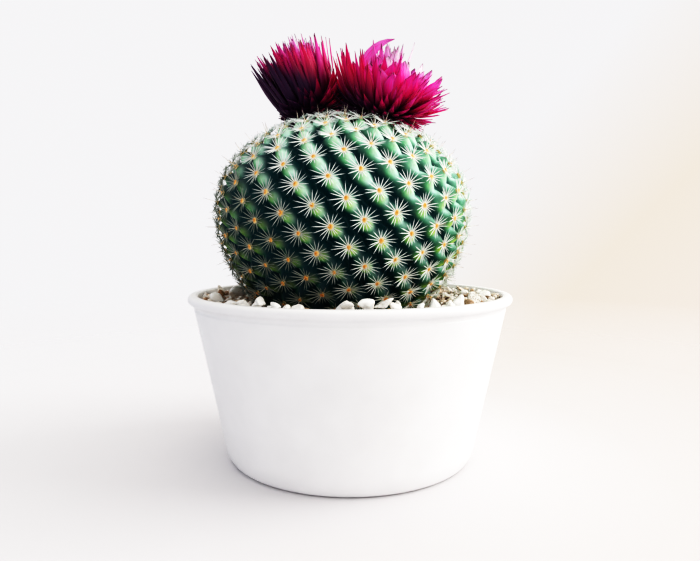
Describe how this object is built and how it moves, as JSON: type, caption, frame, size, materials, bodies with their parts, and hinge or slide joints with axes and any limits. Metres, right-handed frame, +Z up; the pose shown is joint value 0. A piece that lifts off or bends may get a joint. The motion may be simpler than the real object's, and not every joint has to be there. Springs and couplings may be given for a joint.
{
  "type": "potted round cactus",
  "caption": "Round tubercled cactus with starry white spines and dried pink strawflower heads, set in gravel in a tapered white glazed pot.",
  "frame": {"origin": "centre of the pot's base, on the plane that it stands on", "axes": "+Z up along the pot's axis; -Y is the front, with the left and right flower heads towards -X and +X"},
  "size_m": [0.085, 0.085, 0.1141],
  "materials": {
    "glazed_pot": "satin white tin glaze on thin slip-cast stoneware",
    "potting_soil": "dark crumbly peat and bark mix, matt",
    "quartz_grit": "washed beige and white quartz grit, dry and matt",
    "quartz_pebble": "tumbled milky quartz, slightly translucent, some stained tan",
    "cactus_skin": "waxy deep green skin with pale green flanks on the tubercles",
    "spine": "straight chalky white needles, tan at the foot",
    "areole_wool": "short amber wool round the foot of the spines",
    "hot_melt_glue": "milky hot-melt glue, smooth and a little translucent",
    "receptacle": "dry fibrous flower base, dyed dark plum",
    "florets": "packed dry disc florets, rust brown",
    "dyed_bract": "dry papery bracts with a silky sheen, dyed crimson and magenta"
  },
  "bodies": {
    "root": {"pot": "glazed_pot", "soil": "potting_soil", "gravel_bed": "quartz_grit", "cactus_body": "cactus_skin", "glue_left": "hot_melt_glue", "receptacle_left": "receptacle", "florets_left": "florets", "outer_bract_left_1": "dyed_bract", "outer_bract_left_2": "dyed_bract", "outer_bract_left_3": "dyed_bract", "outer_bract_left_4": "dyed_bract", "outer_bract_left_5": "dyed_bract", "outer_bract_left_6": "dyed_bract", "outer_bract_left_7": "dyed_bract", "inner_bract_left_1": "dyed_bract", "inner_bract_left_2": "dyed_bract", "inner_bract_left_3": "dyed_bract", "inner_bract_left_4": "dyed_bract", "inner_bract_left_5": "dyed_bract", "glue_right": "hot_melt_glue", "receptacle_right": "receptacle", "florets_right": "florets", "outer_bract_right_1": "dyed_bract", "outer_bract_right_2": "dyed_bract", "outer_bract_right_3": "dyed_bract", "outer_bract_right_4": "dyed_bract", "outer_bract_right_5": "dyed_bract", "outer_bract_right_6": "dyed_bract", "outer_bract_right_7": "dyed_bract", "inner_bract_right_1": "dyed_bract", "inner_bract_right_2": "dyed_bract", "inner_bract_right_3": "dyed_bract", "inner_bract_right_4": "dyed_bract", "inner_bract_right_5": "dyed_bract", "pebble_01": "quartz_pebble", "pebble_02": "quartz_pebble", "pebble_03": "quartz_pebble", "pebble_04": "quartz_pebble", "pebble_05": "quartz_pebble", "pebble_06": "quartz_pebble", "pebble_07": "quartz_pebble", "pebble_08": "quartz_pebble", "pebble_09": "quartz_pebble", "pebble_10": "quartz_pebble", "pebble_11": "quartz_pebble", "pebble_12": "quartz_pebble", "pebble_13": "quartz_pebble", "pebble_14": "quartz_pebble", "pebble_15": "quartz_pebble", "pebble_16": "quartz_pebble", "pebble_17": "quartz_pebble", "pebble_18": "quartz_pebble", "pebble_19": "quartz_pebble", "pebble_20": "quartz_pebble", "pebble_21": "quartz_pebble", "pebble_22": "quartz_pebble", "pebble_23": "quartz_pebble", "pebble_24": "quartz_pebble"}
  },
  "joints": []
}
